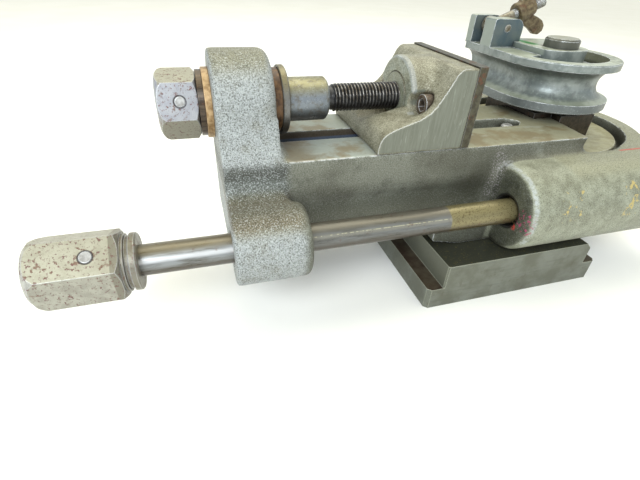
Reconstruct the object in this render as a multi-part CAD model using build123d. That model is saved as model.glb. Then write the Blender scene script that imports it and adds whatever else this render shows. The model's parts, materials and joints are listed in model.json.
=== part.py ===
"""Manual worm-drive tube bender, one STEP file per piece.

Frame: millimetres, +Z up, +X from the crank end along the two shafts, +Y towards the back.
Origin: on the bench under the spindle, where the spindle axis meets the underside of the mounting foot.
"""
import math
import os

from build123d import *

os.makedirs("parts", exist_ok=True)

# ---------------------------------------------------------------- driving dimensions
SHAFT_Y, SHAFT_Z = -99.0, 73.0
SHAFT_R = 9.525
SCREW_Y, SCREW_Z = -32.0, 144.0
SCREW_MAJOR_R = 9.525
SCREW_MINOR_R = 7.95
SCREW_PITCH = 2.54
COLLAR_R = 14.6
HEX_FLATS = 38.1
DRIVE_HEX_TILT = 127.1
FEED_HEX_TILT = 160.2

BRACKET_X0, BRACKET_X1 = -305.5, -267.0
BRACKET_BOSS_R = 33.0
SHAFT_BOSS_R = 24.6
SHAFT_BOSS_X1 = -257.3

ARM_Y0, ARM_Y1 = -77.4, 13.4
ARM_Z0, DECK_Z = 48.0, 117.5
DECK_T = 16.0
ARM_WALL = 11.0
CAVITY_X0, CAVITY_X1 = -262.0, -114.5
SLOT_W = 17.5
SLOT_X0, SLOT_X1 = -262.0, -50.0
SLOT_FLOOR_Z = 107.6
STOP_PIN = (-59.0, -30.5)

CASE_R, CASE_Z0, CASE_Z1 = 91.0, 39.5, 105.8
RECESS_R, RECESS_Z = 76.5, 92.0
CAVITY_R, CAVITY_Z0, CAVITY_Z1 = 85.0, 47.5, 88.0
BARREL_Y, BARREL_R = -94.0, 33.2
BARREL_X0, BARREL_X1 = -98.5, 96.0
WORM_ROOM_R = 23.5
STRIP_Y = -83.0
NECK_R = 5.0
PEDESTAL_X0, PEDESTAL_Y = -150.0, -89.0

FOOT_X0, FOOT_X1 = -162.0, 3.0
FOOT_STEP = 13.0
FOOT_Y0, FOOT_Y1 = -115.5, 51.5
FOOT_FLANGE_Z, FOOT_Z1 = 18.6, 39.5

SPINDLE_R = 14.3
SPINDLE_FIT = 0.05
BLOCK_Z0, BLOCK_Z1 = 100.0, 121.5

DIE_R = 50.8
TUBE_R = 12.7
DIE_Z0, DIE_Z1 = 126.0, 165.0
GROOVE_Z = 146.1
PAD_Z = 170.0
POCKET_R, POCKET_Z = 40.5, 156.0
POCKET_FROM, POCKET_TO = 196, 400
CLAMP_Y1 = 68.0
LUG_X1 = -20.0
LUG_Z = 188.0
LUG_SLOT_Y0, LUG_SLOT_Y1 = 44.5, 59.5
LUG_Y0 = 29.5
PIVOT_X, PIVOT_Y, PIVOT_Z = -36.5, 52.0, 180.5
PIVOT_R = 3.175
BOLT_R = 4.76
BOLT_LEAN = 22.0
BOLT_LENGTH = 56.0

SLIDE_X0, SLIDE_X1 = -202.0, -137.5
SLIDE_Z1 = 171.2
BOSS_X0 = -172.5
SLIDE_BOSS_R = 27.5
NUT_R = 16.5
NUT_X1 = -147.0
PLATE_X1 = -131.0
PLATE_Z1 = 172.4
PLATE_SCREW_DY, PLATE_SCREW_Z = 29.5, 145.0
KEY_X0, KEY_X1 = -195.0, -145.0

WHEEL_TEETH = 50
WHEEL_TIP_R, WHEEL_ROOT_R = 82.9, 76.2
WHEEL_Z0, WHEEL_Z1 = 61.0, 85.0
WORM_R = 15.6


# ---------------------------------------------------------------- construction helpers
STANDING = (Align.CENTER, Align.CENTER, Align.MIN)


def box(x0, x1, y0, y1, z0, z1):
    return Pos(x0, y0, z0) * Box(x1 - x0, y1 - y0, z1 - z0, align=(Align.MIN,) * 3)


def cyl_x(x0, x1, y, z, r):
    return Pos(x0, y, z) * Rot(0, 90, 0) * Cylinder(r, x1 - x0, align=STANDING)


def cyl_y(y0, y1, x, z, r):
    return Pos(x, y0, z) * Rot(-90, 0, 0) * Cylinder(r, y1 - y0, align=STANDING)


def cyl_z(z0, z1, x, y, r):
    return Pos(x, y, z0) * Cylinder(r, z1 - z0, align=STANDING)


def on_circle(u, v, r, degrees):
    """Points at the given angles on a circle round (u, v)."""
    return [(u + r * math.cos(math.radians(a)), v + r * math.sin(math.radians(a))) for a in degrees]


def prism_xy(points, z0, z1):
    face = make_face(Polyline(*points, close=True))
    return extrude(Plane(origin=(0, 0, z0), x_dir=(1, 0, 0), z_dir=(0, 0, 1)) * face, amount=z1 - z0)


def prism_yz(points, x0, x1):
    face = make_face(Polyline(*points, close=True))
    return extrude(Plane(origin=(x0, 0, 0), x_dir=(0, 1, 0), z_dir=(1, 0, 0)) * face, amount=x1 - x0)


def prism_xz(points, y0, y1):
    face = make_face(Polyline(*points, close=True))
    return extrude(Plane(origin=(0, y1, 0), x_dir=(1, 0, 0), z_dir=(0, -1, 0)) * face, amount=y1 - y0)


def turned(profile, origin, direction):
    """Solid of revolution: profile is (distance along direction, radius) from origin."""
    start = (profile[0][0], 0.0)
    end = (profile[-1][0], 0.0)
    outline = Polyline(start, *profile, end, close=True)
    solid = revolve(make_face(outline), axis=Axis.X)
    return Plane(origin=origin, x_dir=direction, z_dir=cross_dir(direction)) * solid


def cross_dir(direction):
    """Any direction at right angles to the given one."""
    x, y, z = direction
    if abs(y) < 0.9:
        return (-z, 0.0, x) if abs(x) + abs(z) > 1e-6 else (1.0, 0.0, 0.0)
    return (0.0, 0.0, 1.0)


def thread_profile(x0, x1, major, minor, pitch):
    """Zig-zag outline of a V thread between x0 and x1."""
    count = int((x1 - x0) / pitch)
    flat = 0.12 * pitch
    points = []
    for i in range(count):
        x = x0 + i * pitch
        points += [(x, minor), (x + 0.5 * pitch - flat, major), (x + 0.5 * pitch + flat, major)]
    return points + [(x0 + count * pitch, minor)]


def hex_bar(x0, x1, y, z, tilt, crown):
    """Hexagon bar along X; tilt is the angle of one flat's normal from +Y; crown is (end radius, length)."""
    corner = HEX_FLATS / math.sqrt(3)
    points = []
    for k in range(6):
        a = math.radians(tilt + 30 + 60 * k)
        points.append((y + corner * math.cos(a), z + corner * math.sin(a)))
    bar = prism_yz(points, x0, x1)
    end_r, run = crown
    full = corner + 0.1
    rise = full - end_r
    outline = [(0.0, end_r), (0.18 * run, end_r + 0.45 * rise), (0.5 * run, end_r + 0.8 * rise),
               (run, full), (x1 - x0 - 2.2, full), (x1 - x0, full - 3.0)]
    return bar & turned(outline, (x0, y, z), (1, 0, 0))


def cross_pin(x, y, z, tilt, r, length):
    """Pin through the shaft axis, square to one hex flat."""
    a = math.radians(tilt)
    d = (0.0, math.cos(a), math.sin(a))
    base = (x, y - 0.5 * length * d[1], z - 0.5 * length * d[2])
    plane = Plane(origin=base, x_dir=(1, 0, 0), z_dir=d)
    return plane * Cylinder(r, length, align=STANDING)


def washer(x0, x1, y, z, outer, inner):
    return cyl_x(x0, x1, y, z, outer) - cyl_x(x0 - 1, x1 + 1, y, z, inner)


def cap_screw(head_r, head_h, shank_r, length, socket_r):
    """Socket-head cap screw, head top at the origin, pointing down Z."""
    screw = cyl_z(-head_h, 0, 0, 0, head_r) + cyl_z(-length, -head_h, 0, 0, shank_r)
    socket = extrude(RegularPolygon(socket_r, 6), amount=0.6 * head_h)
    return screw - Pos(0, 0, -0.6 * head_h) * socket


def hex_screw(across, head_h, shank_r, length):
    """Hexagon-head screw, head underside at the origin, shank pointing up Z."""
    head = extrude(RegularPolygon(across / math.sqrt(3), 6), amount=-head_h)
    return head + cyl_z(0, length, 0, 0, shank_r)


# ---------------------------------------------------------------- fixed frame
def bracket():
    screw_boss = cyl_x(BRACKET_X0, BRACKET_X1, SCREW_Y, SCREW_Z, BRACKET_BOSS_R)
    rims = screw_boss.edges().filter_by(GeomType.CIRCLE).sort_by(Axis.X)
    screw_boss = fillet(rims[-1], 7.0)
    rims = screw_boss.edges().filter_by(GeomType.CIRCLE).sort_by(Axis.X)
    screw_boss = fillet(rims[0], 1.5)
    shaft_boss = cyl_x(BRACKET_X0, SHAFT_BOSS_X1, SHAFT_Y, SHAFT_Z, SHAFT_BOSS_R)
    rims = shaft_boss.edges().filter_by(GeomType.CIRCLE).sort_by(Axis.X)
    shaft_boss = fillet(rims[-1], 4.0)
    rims = shaft_boss.edges().filter_by(GeomType.CIRCLE).sort_by(Axis.X)
    shaft_boss = fillet(rims[0], 1.5)
    front = [(-64.6, 141), (-70, 128), (-75.5, 119), (ARM_Y0, 114), (ARM_Y0, 107), (-78.2, 103),
             (-80.3, 99.9), (-83.5, 97.8), (-90, 96.2), (SHAFT_Y, 90), (SHAFT_Y, 49.6), (-88, ARM_Z0)]
    back = [(ARM_Y1, ARM_Z0), (ARM_Y1, 114), (11.5, 119), (6, 128), (0.6, 141)]
    web = prism_yz(front + back, BRACKET_X0 + 0.6, BRACKET_X1)
    return screw_boss + shaft_boss + web


def arm():
    side = [(-76.0, DECK_Z), (ARM_Y0, DECK_Z - 1.4), (ARM_Y0, 95), (-76.2, 89), (-74.4, 85),
            (-74.0, 80), (-74.0, 52), (-72.0, ARM_Z0), (ARM_Y1 - 2, ARM_Z0), (ARM_Y1, 52),
            (ARM_Y1, DECK_Z - 1.0), (ARM_Y1 - 1.0, DECK_Z)]
    beam = prism_yz(side, BRACKET_X0 + 5, -60.0)
    tongue = [(-62, -76.6), (-19.0, -76.6), (-18.0, -75.8), (-12.0, -28.0), (-31.0, -28.0),
              (-31.0, ARM_Y1), (-62, ARM_Y1)]
    end = prism_xy(tongue, CASE_Z1, DECK_Z)
    return beam + end


def worm_barrel():
    barrel = cyl_x(BARREL_X0, BARREL_X1, BARREL_Y, SHAFT_Z, BARREL_R)
    rim = barrel.edges().filter_by(GeomType.CIRCLE).sort_by(Axis.X)[0]
    barrel = fillet(rim, 6.0)
    saddle = box(-92.0, 74.0, STRIP_Y, -40.0, 52.0, CASE_Z1)
    # small cast radius where the barrel's left face meets the arm
    left, front = BARREL_X0 - NECK_R, ARM_Y0 - NECK_R
    corner = box(left, BARREL_X0 + 8, front, ARM_Y0 + 6, CASE_Z0, CASE_Z1)
    corner -= cyl_z(CASE_Z0 - 1, CASE_Z1 + 1, left, front, NECK_R)
    blend = corner & cyl_x(left - 1, BARREL_X0 + 8, BARREL_Y, SHAFT_Z, BARREL_R - 4.5)
    return barrel + saddle + blend


def body_casting():
    case = cyl_z(CASE_Z0, CASE_Z1, 0, 0, CASE_R)
    top_rim = case.edges().filter_by(GeomType.CIRCLE).sort_by(Axis.Z)[-1]
    case = fillet(top_rim, 2.0)
    # pedestal that stands on the foot, undercut at its left end
    side = [(PEDESTAL_Y, CASE_Z0), (PEDESTAL_Y, 57), (ARM_Y0, 66), (ARM_Y1 - 1, 66), (ARM_Y1 - 1, CASE_Z0)]
    pedestal = prism_yz(side, PEDESTAL_X0, -60)
    undercut = [(PEDESTAL_X0 - 1, CASE_Z0 - 1), (PEDESTAL_X0 - 1, CASE_Z0 + 6), (PEDESTAL_X0 + 25, CASE_Z0),
                (PEDESTAL_X0 + 25, CASE_Z0 - 1)]
    pedestal -= prism_xz(undercut, -120, 60)
    body = case + pedestal + arm() + bracket() + worm_barrel()
    # wheel room, bottom cover seat and top recess
    body -= cyl_z(CAVITY_Z0 - 10, CAVITY_Z1, 0, 0, CAVITY_R)
    body -= cyl_z(CASE_Z0 - 1, CASE_Z0 + 4.0, 0, 0, 90.6)
    body -= cyl_z(RECESS_Z, CASE_Z1, 0, 0, RECESS_R)
    body -= cyl_z(CAVITY_Z1 - 1, RECESS_Z + 1, 0, 0, 20.0)
    # worm room and shaft bores
    body -= cyl_x(-60, BARREL_X1 + 1, SHAFT_Y, SHAFT_Z, WORM_ROOM_R)
    body -= cyl_x(-88, -59, SHAFT_Y, SHAFT_Z, 14.0)
    body -= cyl_x(BARREL_X0 - 20, -87, SHAFT_Y, SHAFT_Z, 11.75)
    body -= cyl_x(BRACKET_X0 - 1, SHAFT_BOSS_X1 + 1, SHAFT_Y, SHAFT_Z, 13.0)
    body -= cyl_x(BRACKET_X0 - 1, BRACKET_X1 + 1, SCREW_Y, SCREW_Z, 16.0)
    # hollow under the deck and the guide slot through it
    body -= box(CAVITY_X0, CAVITY_X1, ARM_Y0 + ARM_WALL, ARM_Y1 - ARM_WALL, 0, DECK_Z - DECK_T)
    half = 0.5 * SLOT_W
    body -= box(SLOT_X0, CAVITY_X1, SCREW_Y - half, SCREW_Y + half, DECK_Z - DECK_T - 1, DECK_Z + 1)
    body -= box(CAVITY_X1 - 1, SLOT_X1 - 6, SCREW_Y - half, SCREW_Y + half, SLOT_FLOOR_Z, DECK_Z + 1)
    tip = [(SLOT_X1 - 7, SCREW_Y - half), (SLOT_X1, SCREW_Y - 1.5),
           (SLOT_X1, SCREW_Y + 1.5), (SLOT_X1 - 7, SCREW_Y + half)]
    body -= prism_xy(tip, SLOT_FLOOR_Z, DECK_Z + 1)
    # tapped holes
    for x, y in FOOT_SCREWS[:2]:
        body -= cyl_z(CASE_Z0 - 1, 58, x, y, 4.2)
    for x, y in COVER_SCREWS:
        body -= cyl_z(CASE_Z0, 53, x, y, 1.7)
    for y, z in CAP_SCREWS:
        body -= cyl_x(BARREL_X1 - 14, BARREL_X1 + 1, y, z, 1.7)
    for x, y in BLOCK_SCREWS:
        body -= cyl_z(86, 93, x, y, 2.6)
    return body


FOOT_SCREWS = [(-106.0, -60.0), (-106.0, -4.0), (-40.0, -60.0), (-40.0, -4.0)]
COVER_SCREWS = on_circle(0, 0, 87.7, (20, 80, 140, 335))
CAP_SCREWS = on_circle(BARREL_Y + 1, SHAFT_Z, 28.2, (60, 120, 240, 300))
BLOCK_SCREWS = [(18.0, 31.0), (-22.0, 31.0), (18.0, -31.5)]


def mounting_foot():
    block = box(FOOT_X0 + FOOT_STEP, FOOT_X1 - FOOT_STEP, FOOT_Y0, FOOT_Y1, 0, FOOT_Z1)
    top_right = block.edges().filter_by(Axis.Y).sort_by(Axis.Z)[-2:].sort_by(Axis.X)[-1]
    block = chamfer(top_right, 6.0)
    verticals = block.edges().filter_by(Axis.Z).sort_by(Axis.Y)[:2]
    block = chamfer(verticals, 1.2)
    flange = box(FOOT_X0, FOOT_X1, FOOT_Y0, FOOT_Y1, 0, FOOT_FLANGE_Z)
    flange = chamfer(flange.edges().filter_by(Axis.Z), 3.0)
    foot = block + flange
    for x, y in FOOT_SCREWS:
        foot -= cyl_z(-1, FOOT_Z1 + 1, x, y, 4.5)
        foot -= cyl_z(-1, 18.0, x, y, 7.5)
    return foot


def foot_screw(i):
    x, y = FOOT_SCREWS[i]
    reach = 54.0 if i < 2 else 46.5
    screw = cap_screw(7.1, 8.0, 4.1, reach - 10.0, 3.6)
    return Pos(x, y, 10.0) * Rot(180, 0, 0) * screw


def bottom_cover():
    cover = cyl_z(CASE_Z0, CASE_Z0 + 3.9, 0, 0, 90.4) + cyl_z(CASE_Z0, CAVITY_Z0, 0, 0, CAVITY_R - 0.1)
    cover -= cyl_z(CASE_Z0 - 1, CAVITY_Z0 + 1, 0, 0, 16.0)
    for x, y in COVER_SCREWS:
        cover -= cyl_z(CASE_Z0 - 1, CAVITY_Z0 + 1, x, y, 1.75)
        cover -= cyl_z(CASE_Z0 - 1, CASE_Z0 + 2.0, x, y, 2.6)
    for x, y in FOOT_SCREWS[2:]:
        cover -= cyl_z(CASE_Z0 - 1, CAVITY_Z0 + 1, x, y, 4.2)
    return cover


def cover_screw(i):
    x, y = COVER_SCREWS[i]
    return Pos(x, y, CASE_Z0) * Rot(180, 0, 0) * cap_screw(2.5, 1.9, 1.6, 12.0, 1.2)


def cover_disc():
    disc = cyl_z(RECESS_Z, BLOCK_Z0, 0, 0, 71.0)
    disc = chamfer(disc.edges().filter_by(GeomType.CIRCLE).sort_by(Axis.Z)[-1], 0.8)
    disc -= cyl_z(RECESS_Z - 1, BLOCK_Z0 + 1, 0, 0, 20.0)
    for x, y in BLOCK_SCREWS:
        disc -= cyl_z(RECESS_Z - 1, BLOCK_Z0 + 1, x, y, 2.6)
    return disc


def bearing_block():
    outline = [(-12.2, -39), (25, -39), (25, 39), (-30, 39), (-30, -27.2), (-10.8, -27.2)]
    block = prism_xy(outline, BLOCK_Z0, BLOCK_Z1)
    block -= cyl_z(BLOCK_Z0 - 1, BLOCK_Z1 + 1, 0, 0, 20.0)
    for x, y in BLOCK_SCREWS:
        block -= cyl_z(BLOCK_Z0 - 1, BLOCK_Z1 + 1, x, y, 2.6)
        block -= cyl_z(BLOCK_Z1 - 5, BLOCK_Z1 + 1, x, y, 4.4)
    return block


def block_screw(i):
    x, y = BLOCK_SCREWS[i]
    return Pos(x, y, BLOCK_Z1 - 0.6) * cap_screw(4.2, 4.4, 2.5, 33.0, 2.0)


def spindle_bush_upper():
    return cyl_z(CAVITY_Z1, BLOCK_Z1, 0, 0, 20.0) - cyl_z(80, 130, 0, 0, SPINDLE_R + SPINDLE_FIT)


def spindle_bush_lower():
    return cyl_z(CASE_Z0, CAVITY_Z0, 0, 0, 16.0) - cyl_z(30, 60, 0, 0, 12.0 + SPINDLE_FIT)


def end_cap():
    cap = cyl_x(BARREL_X1, BARREL_X1 + 7, BARREL_Y, SHAFT_Z, BARREL_R - 0.7)
    cap = chamfer(cap.edges().filter_by(GeomType.CIRCLE).sort_by(Axis.X)[-1], 1.0)
    cap += cyl_x(BARREL_X1 - 26, BARREL_X1 + 1, SHAFT_Y, SHAFT_Z, WORM_ROOM_R - 0.1)
    cap -= cyl_x(BARREL_X1 - 27, BARREL_X1 + 2, SHAFT_Y, SHAFT_Z, 14.0)
    for y, z in CAP_SCREWS:
        cap -= cyl_x(BARREL_X1 - 1, BARREL_X1 + 8, y, z, 1.75)
        cap -= cyl_x(BARREL_X1 + 3.5, BARREL_X1 + 8, y, z, 3.2)
    return cap


def cap_screw_right(i):
    y, z = CAP_SCREWS[i]
    return Pos(BARREL_X1 + 7, y, z) * Rot(0, 90, 0) * cap_screw(3.0, 3.4, 1.6, 18.0, 1.4)


def slot_stop_pin():
    pin = cyl_z(SLOT_FLOOR_Z, 114.5, *STOP_PIN, 5.0)
    return chamfer(pin.edges().filter_by(GeomType.CIRCLE).sort_by(Axis.Z)[-1], 1.2)


# ---------------------------------------------------------------- crank train
def drive_shaft():
    profile = [(-412.0, 8.5), (-411.0, SHAFT_R), (89.0, SHAFT_R), (90.0, 8.5)]
    shaft = turned(profile, (0, SHAFT_Y, SHAFT_Z), (1, 0, 0))
    shaft -= cross_pin(DRIVE_PIN_X, SHAFT_Y, SHAFT_Z, DRIVE_HEX_TILT, 3.18, 40.0)
    shaft -= box(-26, 26, SHAFT_Y - 2.4, SHAFT_Y + 2.4, SHAFT_Z + SHAFT_R - 2.4, SHAFT_Z + 12)
    return shaft


DRIVE_PIN_X = -383.5
FEED_PIN_X = -324.5


def drive_hex():
    bar = hex_bar(-417.0, -367.5, SHAFT_Y, SHAFT_Z, DRIVE_HEX_TILT, (13.0, 9.0))
    neck = [(0.0, 17.3), (1.8, 17.3), (2.2, 15.6), (4.2, 15.6), (4.6, 17.3), (7.7, 17.3), (8.5, 16.5)]
    socket = bar + turned(neck, (-367.5, SHAFT_Y, SHAFT_Z), (1, 0, 0))
    socket -= cyl_x(-412.0, -350, SHAFT_Y, SHAFT_Z, SHAFT_R)
    return socket - cross_pin(DRIVE_PIN_X, SHAFT_Y, SHAFT_Z, DRIVE_HEX_TILT, 3.18, 60.0)


def drive_hex_pin():
    return cross_pin(DRIVE_PIN_X, SHAFT_Y, SHAFT_Z, DRIVE_HEX_TILT, 3.18, HEX_FLATS + 0.5)


def worm():
    profile = [(-32, 12.5), (-27.5, 12.5), (-27.5, WORM_R), (27.5, WORM_R), (27.5, 12.5), (32, 12.5)]
    body = turned(profile, (0, SHAFT_Y, SHAFT_Z), (1, 0, 0))
    body -= cyl_x(-40, 40, SHAFT_Y, SHAFT_Z, SHAFT_R)
    return body - box(-40, 40, SHAFT_Y - 2.4, SHAFT_Y + 2.4, SHAFT_Z, SHAFT_Z + 12)


def worm_key():
    return box(-26, 26, SHAFT_Y - 2.4, SHAFT_Y + 2.4, SHAFT_Z + SHAFT_R - 2.4, SHAFT_Z + 11.9)


# ---------------------------------------------------------------- spindle train
def worm_wheel():
    points = []
    for k in range(WHEEL_TEETH):
        mid = 360.0 * (k + 0.5) / WHEEL_TEETH - 90.0
        for off, r in ((-2.1, WHEEL_ROOT_R), (-0.9, WHEEL_TIP_R), (0.9, WHEEL_TIP_R), (2.1, WHEEL_ROOT_R)):
            a = math.radians(mid + off)
            points.append((r * math.cos(a), r * math.sin(a)))
    wheel = prism_xy(points, WHEEL_Z0, WHEEL_Z1)
    wheel -= cyl_z(WHEEL_Z1 - 5, WHEEL_Z1 + 1, 0, 0, 66.0) - cyl_z(WHEEL_Z1 - 6, WHEEL_Z1 + 2, 0, 0, 28.0)
    wheel -= cyl_z(WHEEL_Z0 - 1, WHEEL_Z0 + 5, 0, 0, 66.0) - cyl_z(WHEEL_Z0 - 2, WHEEL_Z0 + 6, 0, 0, 28.0)
    wheel += cyl_z(50.0, 87.0, 0, 0, 26.0)
    wheel -= cyl_z(40, 100, 0, 0, SPINDLE_R)
    return wheel - box(0, 18, -4, 4, 40, 100)


def wheel_key():
    return box(SPINDLE_R - 4.0, 17.8, -4, 4, 52, 86)


def spindle():
    profile = [(40.0, 11.0), (41.0, 12.0), (49.8, 12.0), (49.8, SPINDLE_R), (122.0, SPINDLE_R),
               (122.0, 22.0), (DIE_Z0, 22.0), (DIE_Z0, SPINDLE_R), (176.0, SPINDLE_R), (177.6, 12.8)]
    body = turned(profile, (0, 0, 0), (0, 0, 1))
    body -= box(SPINDLE_R - 4.0, 20, -4, 4, 52, 86)
    return body - box(-4, 4, SPINDLE_R - 4.0, 20, 128, 162)


def die_key():
    return box(-4, 4, SPINDLE_R - 4.0, 18.0, 128, 162)


def clamp_end():
    """Straight end of the radius block, where the tube is clamped, with two clevis lugs on top."""
    end = box(-DIE_R, -14.0, 0, CLAMP_Y1, DIE_Z0, DIE_Z1)
    end = chamfer(end.edges().filter_by(Axis.Z).sort_by(Axis.Y)[-2:], 2.0)
    end -= cyl_y(-1, CLAMP_Y1 + 1, -DIE_R, GROOVE_Z, TUBE_R)
    for y0, y1 in ((LUG_Y0, LUG_SLOT_Y0), (LUG_SLOT_Y1, CLAMP_Y1)):
        lug = box(-DIE_R, LUG_X1, y0, y1, DIE_Z1 - 1, LUG_Z)
        tops = lug.edges().filter_by(Axis.Y).sort_by(Axis.Z)[-2:].sort_by(Axis.X)
        lug = fillet(tops[-1], 8.0)
        tops = lug.edges().filter_by(Axis.Y).sort_by(Axis.Z)[-2:].sort_by(Axis.X)
        lug = fillet(tops[0], 2.0)
        end += lug
    return end


def radius_block():
    groove = []
    for k in range(25):
        a = math.radians(-90 + 180 * k / 24)
        groove.append((GROOVE_Z + TUBE_R * math.sin(a), DIE_R - TUBE_R * math.cos(a)))
    low_edge = [(DIE_Z0, DIE_R - 0.8), (DIE_Z0 + 0.8, DIE_R)]
    top_edge = [(DIE_Z1 - 0.8, DIE_R), (DIE_Z1, DIE_R - 0.8)]
    block = turned(low_edge + groove + top_edge, (0, 0, 0), (0, 0, 1))
    block += clamp_end()
    # raised pad round the spindle, running back to the lugs
    front = Spline((-26, -4), (-24.2, -11.5), (-17, -17.3), (0, -19.6), (12, -17.2), (20.5, -9.5), (22.5, 0))
    sides = Polyline((22.5, 0), (22.5, 42), (LUG_X1 + 0.5, 50), (LUG_X1 + 0.5, LUG_Y0 - 0.5),
                     (-26, LUG_Y0 - 0.5), (-26, -4))
    outline = make_face(front + sides)
    pad = Pos(0, 0, POCKET_Z - 1) * extrude(outline, amount=PAD_Z - POCKET_Z + 1)
    # crescent pocket between the pad and the rim
    ring = cyl_z(POCKET_Z, DIE_Z1 + 1, 0, 0, POCKET_R)
    wedge = [(0, 0)] + on_circle(0, 0, 1.4 * DIE_R, range(POCKET_FROM, POCKET_TO, 10))
    block -= (ring & prism_xy(wedge, POCKET_Z - 1, DIE_Z1 + 2)) - pad
    block += (pad & cyl_z(DIE_Z1 - 1, PAD_Z + 1, 0, 0, DIE_R - 1.5))
    block -= cyl_z(DIE_Z0 - 1, PAD_Z + 1, 0, 0, SPINDLE_R + SPINDLE_FIT)
    block -= box(-4, 4, 0, 18.0, DIE_Z0 - 1, PAD_Z - 3)
    return block - cyl_y(LUG_Y0 - 1, CLAMP_Y1 + 1, PIVOT_X, PIVOT_Z, PIVOT_R)


def clevis_pin():
    pin = cyl_y(LUG_Y0 - 0.8, CLAMP_Y1 + 0.6, PIVOT_X, PIVOT_Z, PIVOT_R)
    return chamfer(pin.edges().filter_by(GeomType.CIRCLE), 0.5)


# ---------------------------------------------------------------- clamp bolt
LEAN = math.radians(BOLT_LEAN)
BOLT_DIR = (math.cos(LEAN), 0.0, math.sin(LEAN))
NUT_T0, NUT_T1 = 24.5, 43.0


def swing_bolt():
    eye = cyl_y(LUG_SLOT_Y0 + 1, LUG_SLOT_Y1 - 1, PIVOT_X, PIVOT_Z, 7.0)
    profile = [(0.0, BOLT_R), (21.0, BOLT_R)]
    profile += thread_profile(21.0, BOLT_LENGTH - 1.4, BOLT_R, 3.95, 1.5875)
    shank = turned(profile, (PIVOT_X, PIVOT_Y, PIVOT_Z), BOLT_DIR)
    return eye + shank - cyl_y(0, 100, PIVOT_X, PIVOT_Z, PIVOT_R + 0.06)


def wing_nut():
    origin = (PIVOT_X, PIVOT_Y, PIVOT_Z)
    profile = [(NUT_T0, 8.6), (NUT_T0 + 1, 9.2), (NUT_T1 - 5, 8.4), (NUT_T1 - 1, 7.4), (NUT_T1, 6.4)]
    hub = turned(profile, origin, BOLT_DIR)
    ear = [(NUT_T0 + 3, 5), (NUT_T0 + 5, 10), (NUT_T0 + 9, 14), (NUT_T1 - 5, 19), (NUT_T1 - 1, 25),
           (NUT_T1 + 4, 27.5), (NUT_T1 + 9, 26), (NUT_T1 + 11, 21.5), (NUT_T1 + 9, 16),
           (NUT_T1 + 4, 11), (NUT_T1 - 1, 7), (NUT_T1 - 1, 5)]
    wings = None
    for side in (-1, 1):
        outline = []
        for along, out in ear:
            x = PIVOT_X + along * BOLT_DIR[0] + side * out * BOLT_DIR[2]
            z = PIVOT_Z + along * BOLT_DIR[2] - side * out * BOLT_DIR[0]
            outline.append((x, z))
        wing = prism_xz(outline, PIVOT_Y - 2.6, PIVOT_Y + 2.6)
        wing = fillet(wing.edges().group_by(Axis.Y)[0] + wing.edges().group_by(Axis.Y)[-1], 0.8)
        wings = wing if wings is None else wings + wing
    bore = turned([(NUT_T0 - 5, BOLT_R + 0.06), (NUT_T1 + 5, BOLT_R + 0.06)], origin, BOLT_DIR)
    return hub + wings - bore


# ---------------------------------------------------------------- feed screw
def feed_screw():
    profile = [(-334.0, 9.5), (-313.8, 9.5), (-313.8, 11.0), (-261.2, 11.0), (-261.2, 22.5), (-257.0, 22.5),
               (-256.4, 21.9), (-256.4, COLLAR_R), (-228.6, COLLAR_R), (-226.8, 12.6), (-226.8, 8.2),
               (-223.5, 8.2)]
    profile += thread_profile(-223.5, -134.4, SCREW_MAJOR_R, SCREW_MINOR_R, SCREW_PITCH)
    screw = turned(profile, (0, SCREW_Y, SCREW_Z), (1, 0, 0))
    return screw - cross_pin(FEED_PIN_X, SCREW_Y, SCREW_Z, FEED_HEX_TILT, 3.0, 40.0)


def feed_hex():
    nut = hex_bar(-338.5, -313.8, SCREW_Y, SCREW_Z, FEED_HEX_TILT, (16.5, 5.0))
    nut -= cyl_x(-334.0, -300, SCREW_Y, SCREW_Z, 9.5)
    return nut - cross_pin(FEED_PIN_X, SCREW_Y, SCREW_Z, FEED_HEX_TILT, 3.0, 60.0)


def feed_hex_pin():
    return cross_pin(FEED_PIN_X, SCREW_Y, SCREW_Z, FEED_HEX_TILT, 3.0, HEX_FLATS + 0.5)


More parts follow.
